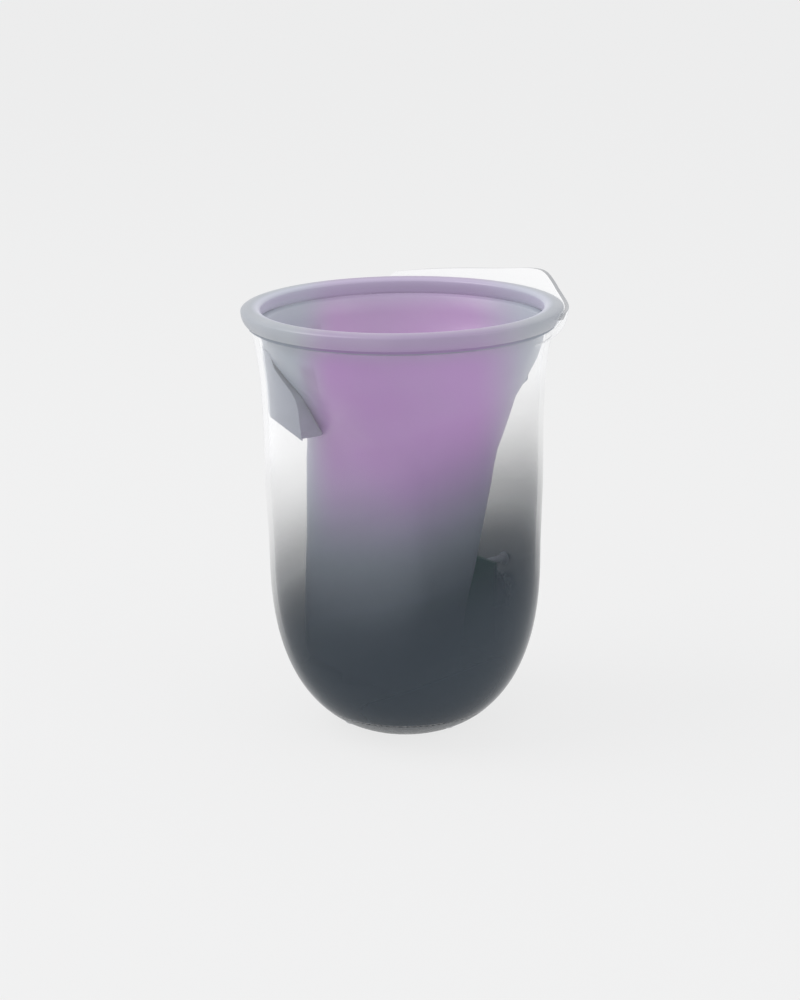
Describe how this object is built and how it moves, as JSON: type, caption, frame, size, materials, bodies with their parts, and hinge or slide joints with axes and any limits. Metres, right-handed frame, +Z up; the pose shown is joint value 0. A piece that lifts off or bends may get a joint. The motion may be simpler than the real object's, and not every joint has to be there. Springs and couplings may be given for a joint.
{
  "type": "uv sanitizer and wireless charger vessel",
  "caption": "Vase-shaped UV sanitizer and wireless charger: clear-to-smoke shell, rounded rim with a raised lip, and a funnel liner with a leaning pocket.",
  "frame": {"origin": "centre of the foot pad's rest face, on the body's axis", "axes": "+Z up along the body's axis, -Y the pocket's front, +Y the charging wall, inlet and button side (rear); the lamp sits 36 degrees from -Y towards -X"},
  "size_m": [0.1256, 0.1293, 0.178],
  "materials": {
    "clear_shell": "clear at the top, fading to dark smoke at the bottom, glossy",
    "rim": "smooth satin, slightly see-through",
    "liner": "smooth translucent, lit violet from inside",
    "housing": "smooth satin",
    "uv_glass": "polished",
    "uv_chip": "lit",
    "silicone": "soft matt",
    "rubber": "matt",
    "base": "fine satin",
    "inner_frame": "matt",
    "board": "satin solder resist",
    "black_parts": "matt",
    "pale_plastic": "satin",
    "flex": "satin",
    "copper": "enamelled winding",
    "ferrite": "matt",
    "steel": "satin",
    "button": "satin",
    "bezel": "satin",
    "pipe": "polished"
  },
  "bodies": {
    "vessel": {"outer_shell": "clear_shell", "rim_ring": "rim", "rim_gasket": "silicone", "inner_liner": "liner", "pocket_mat": "silicone", "uv_housing": "housing", "uv_window": "uv_glass", "uv_board": "board", "uv_leds": "uv_chip", "sensor_housing": "housing", "sensor_lens": "uv_glass", "sensor_board": "board", "sensor_chip": "black_parts", "coil_cover": "housing", "charging_coil": "copper", "ferrite_sheet": "ferrite", "coil_lead": "flex", "chassis": "inner_frame", "main_board": "board", "board_parts": "black_parts", "board_screws": "steel", "io_board": "board", "usb_c_socket": "steel", "tact_switch": "black_parts", "button_bezel": "bezel", "status_led": "pale_plastic", "light_pipe": "pipe", "base_plate": "base", "ballast_weight": "steel", "foot_pad": "rubber", "base_screws": "steel"},
    "button": {"power_button": "button"},
    "plunger": {"switch_plunger": "pale_plastic"}
  },
  "joints": [
    {"name": "button_press", "type": "slide", "parent": "vessel", "child": "button", "axis": [0, -1, 0], "range_m": [0, 0.0008], "stiffness_N_per_m": 1500, "springref_m": -0.0004},
    {"name": "plunger_travel", "type": "slide", "parent": "vessel", "child": "plunger", "axis": [0, -1, 0], "range_m": [0, 0.0008]}
  ],
  "couplings": [
    {"joint": "plunger_travel", "follows": "button_press", "ratio": 1}
  ]
}
